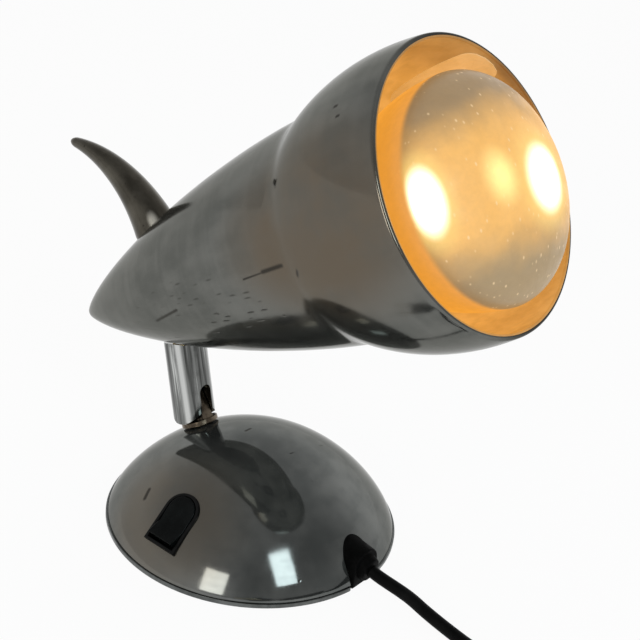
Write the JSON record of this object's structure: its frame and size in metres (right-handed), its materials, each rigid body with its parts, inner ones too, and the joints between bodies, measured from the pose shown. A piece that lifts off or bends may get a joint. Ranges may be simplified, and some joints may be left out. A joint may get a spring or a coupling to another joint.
{
  "type": "wall lamp",
  "caption": "Plug-in wall lamp with a bullet-shaped metal shade, curved horn handle and reflector bulb on a tilting, swivelling knuckle over a domed base with rocker switch and cord.",
  "frame": {"origin": "centre of the base plate's wall face", "axes": "+Z out of the wall (up as pictured), -Y the way the shade faces and the cord leaves, -X the side of the rocker switch"},
  "size_m": [0.1577, 0.3138, 0.2163],
  "materials": {
    "plate_steel": "zinc-plated, dull",
    "dome_metal": "polished, soft reflections",
    "screw_steel": "zinc-plated",
    "switch_black": "semi-gloss black",
    "rocker_black": "semi-matt black",
    "terminal_brass": "plain brass",
    "gland_black": "matt black moulding",
    "clamp_plastic": "matt ivory moulding",
    "lead_insulation": "smooth insulation",
    "knuckle_metal": "dull, tarnished",
    "stem_chrome": "polished",
    "shade_metal": "polished outside, cream paint inside",
    "horn_pewter": "dark polished cast metal",
    "holder_moulding": "dark moulding",
    "holder_porcelain": "glazed",
    "bulb_frost": "frosted reflector",
    "cap_metal": "nickel-plated",
    "mount_glass": "clear",
    "filament_metal": "drawn wire",
    "label_paper": "blank paper",
    "cord_black": "smooth black sheath",
    "tie_black": "matt band",
    "plug_black": "moulded black",
    "pin_metal": "nickel-plated"
  },
  "bodies": {
    "base": {"base_plate": "plate_steel", "base_dome": "dome_metal", "plate_screws": "screw_steel", "switch_case": "switch_black", "switch_terminals": "terminal_brass", "cable_gland": "gland_black", "cord_clamp": "clamp_plastic", "clamp_screws": "screw_steel", "terminal_block": "clamp_plastic", "base_leads": "lead_insulation", "cord_free": "cord_black", "cord_coil": "cord_black", "cord_tail": "cord_black", "cord_tie": "tie_black", "plug_body": "plug_black", "plug_pins": "pin_metal"},
    "swivel": {"swivel_tongue": "knuckle_metal", "swivel_washer": "screw_steel", "swivel_nut": "terminal_brass"},
    "head": {"stem": "stem_chrome", "pivot_screw": "screw_steel", "stem_nipple": "terminal_brass", "nipple_nut": "terminal_brass", "shade": "shade_metal", "horn": "horn_pewter", "horn_screw": "screw_steel", "holder_bracket": "plate_steel", "holder_screws": "screw_steel", "holder_body": "holder_moulding", "holder_core": "holder_porcelain", "holder_thread": "terminal_brass", "holder_contact": "terminal_brass", "head_leads": "lead_insulation", "bulb_glass": "bulb_frost", "bulb_cap": "cap_metal", "bulb_insulator": "holder_moulding", "bulb_contact": "cap_metal", "bulb_mount": "mount_glass", "bulb_filament": "filament_metal", "inner_label": "label_paper"},
    "rocker": {"switch_rocker": "rocker_black"}
  },
  "joints": [
    {"name": "knuckle_swivel", "type": "hinge", "parent": "base", "child": "swivel", "pos_m": [0, 0.0325, 0.0298], "axis": [0, 0.5003, 0.8658], "range_deg": [-60, 60]},
    {"name": "head_tilt", "type": "hinge", "parent": "swivel", "child": "head", "pos_m": [0, 0.0385, 0.04019], "axis": [1, 0, 0], "range_deg": [-35, 30]},
    {"name": "switch_rock", "type": "hinge", "parent": "base", "child": "rocker", "pos_m": [-0.04418, 0, 0.01693], "axis": [0, 1, 0], "range_deg": [-14, 0]}
  ]
}
